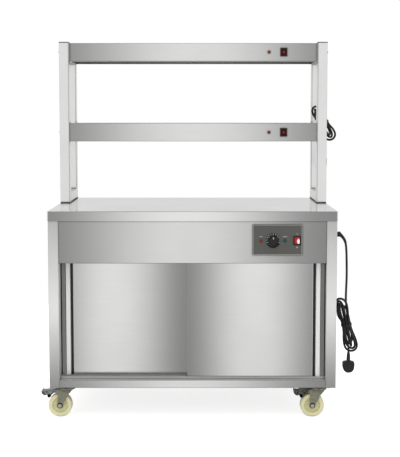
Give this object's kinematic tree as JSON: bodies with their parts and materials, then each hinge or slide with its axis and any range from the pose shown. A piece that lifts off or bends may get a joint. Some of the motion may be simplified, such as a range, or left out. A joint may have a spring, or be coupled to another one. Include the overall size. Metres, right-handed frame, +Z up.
{
  "type": "mobile hot cupboard",
  "caption": "Stainless mobile hot cupboard with sliding doors, a polished worktop and a heated gantry of open shelves, on swivel casters.",
  "frame": {"origin": "on the floor below the centre of the cabinet", "axes": "+X to the right seen from the front, +Y from the front to the back, +Z up"},
  "size_m": [1.3473, 0.6164, 1.602],
  "materials": {
    "satin_stainless": "satin brushed",
    "polished_stainless": "polished",
    "aluminium_profile": "mill finish",
    "zinc_plated_steel": "zinc plated",
    "heater_sheath": "heat-darkened sheath",
    "plated_wire": "bright plated",
    "dark_panel": "satin printed panel",
    "black_plastic": "moulded",
    "black_rubber": "matt",
    "amber_lens": "clear tinted lens",
    "green_lens": "clear tinted lens",
    "red_lens": "clear tinted rocker",
    "cream_nylon": "moulded nylon",
    "plug_brass": "bright"
  },
  "bodies": {
    "cabinet": {"amber_lamps": "amber_lens", "back_panel": "satin_stainless", "base_pan": "satin_stainless", "bottom_track": "aluminium_profile", "cable_glands": "black_plastic", "caster_bolts": "zinc_plated_steel", "caster_plates": "zinc_plated_steel", "cavity_liner": "satin_stainless", "control_plate": "dark_panel", "door_track": "aluminium_profile", "element_guard": "satin_stainless", "frame_end_caps": "black_plastic", "frame_gaskets": "black_rubber", "front_apron": "satin_stainless", "front_sill": "satin_stainless", "gantry_hank": "black_rubber", "gantry_lead": "black_rubber", "gantry_plug": "black_plastic", "green_lamp": "green_lens", "hank_ties": "black_plastic", "heater_guards": "plated_wire", "heating_element": "heater_sheath", "inner_shelf": "satin_stainless", "left_gantry_frame": "satin_stainless", "left_side_panel": "satin_stainless", "lower_shelf": "satin_stainless", "mains_hank": "black_rubber", "mains_lead": "black_rubber", "mains_plug": "black_plastic", "plug_pins": "plug_brass", "right_gantry_frame": "satin_stainless", "right_side_panel": "satin_stainless", "shelf_bolts": "zinc_plated_steel", "shelf_heaters": "heater_sheath", "shelf_runners": "satin_stainless", "switch_housings": "black_plastic", "thermostat_body": "black_plastic", "upper_shelf": "satin_stainless", "worktop": "polished_stainless"},
    "left_door_panel": {"left_door": "satin_stainless"},
    "right_door_panel": {"right_door": "satin_stainless"},
    "left_door_roller_a": {"left_door_roller_a": "cream_nylon"},
    "left_door_roller_b": {"left_door_roller_b": "cream_nylon"},
    "right_door_roller_a": {"right_door_roller_a": "cream_nylon"},
    "right_door_roller_b": {"right_door_roller_b": "cream_nylon"},
    "dial": {"thermostat_knob": "black_plastic"},
    "main_switch_rocker": {"main_rocker": "red_lens"},
    "upper_switch_rocker": {"upper_rocker": "red_lens"},
    "lower_switch_rocker": {"lower_rocker": "red_lens"},
    "front_left_caster": {"front_left_fork": "zinc_plated_steel"},
    "front_left_caster_wheel": {"front_left_wheel": "cream_nylon"},
    "front_left_brake": {"front_left_pedal": "zinc_plated_steel"},
    "front_right_caster": {"front_right_fork": "zinc_plated_steel"},
    "front_right_caster_wheel": {"front_right_wheel": "cream_nylon"},
    "front_right_brake": {"front_right_pedal": "zinc_plated_steel"},
    "rear_left_caster": {"rear_left_fork": "zinc_plated_steel"},
    "rear_left_caster_wheel": {"rear_left_wheel": "cream_nylon"},
    "rear_right_caster": {"rear_right_fork": "zinc_plated_steel"},
    "rear_right_caster_wheel": {"rear_right_wheel": "cream_nylon"}
  },
  "joints": [
    {"name": "left_door_slide", "type": "slide", "parent": "cabinet", "child": "left_door_panel", "axis": [1, 0, 0], "range_m": [0, 0.52]},
    {"name": "right_door_slide", "type": "slide", "parent": "cabinet", "child": "right_door_panel", "axis": [-1, 0, 0], "range_m": [0, 0.52]},
    {"name": "left_door_roller_a_spin", "type": "hinge", "parent": "left_door_panel", "child": "left_door_roller_a", "pos_m": [-0.04, -0.2266, 0.708], "axis": [0, 1, 0], "continuous": true},
    {"name": "left_door_roller_b_spin", "type": "hinge", "parent": "left_door_panel", "child": "left_door_roller_b", "pos_m": [-0.44, -0.2266, 0.708], "axis": [0, 1, 0], "continuous": true},
    {"name": "right_door_roller_a_spin", "type": "hinge", "parent": "right_door_panel", "child": "right_door_roller_a", "pos_m": [0.04, -0.2536, 0.708], "axis": [0, -1, 0], "continuous": true},
    {"name": "right_door_roller_b_spin", "type": "hinge", "parent": "right_door_panel", "child": "right_door_roller_b", "pos_m": [0.44, -0.2536, 0.708], "axis": [0, -1, 0], "continuous": true},
    {"name": "dial_turn", "type": "hinge", "parent": "cabinet", "child": "dial", "pos_m": [0.333, -0.3, 0.759], "axis": [0, 1, 0], "range_deg": [0, 270]},
    {"name": "main_rocker_tilt", "type": "hinge", "parent": "cabinet", "child": "main_switch_rocker", "pos_m": [0.432, -0.2955, 0.759], "axis": [1, 0, 0], "range_deg": [0, 12]},
    {"name": "upper_rocker_tilt", "type": "hinge", "parent": "cabinet", "child": "upper_switch_rocker", "pos_m": [0.406, 0.0645, 1.558], "axis": [1, 0, 0], "range_deg": [0, 12]},
    {"name": "lower_rocker_tilt", "type": "hinge", "parent": "cabinet", "child": "lower_switch_rocker", "pos_m": [0.406, 0.0505, 1.199], "axis": [1, 0, 0], "range_deg": [0, 12]},
    {"name": "front_left_swivel", "type": "hinge", "parent": "cabinet", "child": "front_left_caster", "pos_m": [-0.534, -0.24, 0.12], "axis": [0, 0, 1], "continuous": true},
    {"name": "front_left_wheel_spin", "type": "hinge", "parent": "front_left_caster", "child": "front_left_caster_wheel", "pos_m": [-0.562, -0.24, 0.05], "axis": [0, 1, 0], "continuous": true},
    {"name": "front_left_brake_press", "type": "hinge", "parent": "front_left_caster", "child": "front_left_brake", "pos_m": [-0.574, -0.24, 0.1096], "axis": [0, -1, 0], "range_deg": [0, 5.8]},
    {"name": "front_right_swivel", "type": "hinge", "parent": "cabinet", "child": "front_right_caster", "pos_m": [0.534, -0.24, 0.12], "axis": [0, 0, 1], "continuous": true},
    {"name": "front_right_wheel_spin", "type": "hinge", "parent": "front_right_caster", "child": "front_right_caster_wheel", "pos_m": [0.506, -0.24, 0.05], "axis": [0, 1, 0], "continuous": true},
    {"name": "front_right_brake_press", "type": "hinge", "parent": "front_right_caster", "child": "front_right_brake", "pos_m": [0.494, -0.24, 0.1096], "axis": [0, -1, 0], "range_deg": [0, 5.8]},
    {"name": "rear_left_swivel", "type": "hinge", "parent": "cabinet", "child": "rear_left_caster", "pos_m": [-0.534, 0.24, 0.12], "axis": [0, 0, 1], "continuous": true},
    {"name": "rear_left_wheel_spin", "type": "hinge", "parent": "rear_left_caster", "child": "rear_left_caster_wheel", "pos_m": [-0.562, 0.24, 0.05], "axis": [0, 1, 0], "continuous": true},
    {"name": "rear_right_swivel", "type": "hinge", "parent": "cabinet", "child": "rear_right_caster", "pos_m": [0.534, 0.24, 0.12], "axis": [0, 0, 1], "continuous": true},
    {"name": "rear_right_wheel_spin", "type": "hinge", "parent": "rear_right_caster", "child": "rear_right_caster_wheel", "pos_m": [0.506, 0.24, 0.05], "axis": [0, 1, 0], "continuous": true}
  ],
  "couplings": [
    {"joint": "left_door_roller_a_spin", "follows": "left_door_slide", "rad_per_m": 83.333},
    {"joint": "left_door_roller_b_spin", "follows": "left_door_slide", "rad_per_m": 83.333},
    {"joint": "right_door_roller_a_spin", "follows": "right_door_slide", "rad_per_m": 83.333},
    {"joint": "right_door_roller_b_spin", "follows": "right_door_slide", "rad_per_m": 83.333}
  ]
}
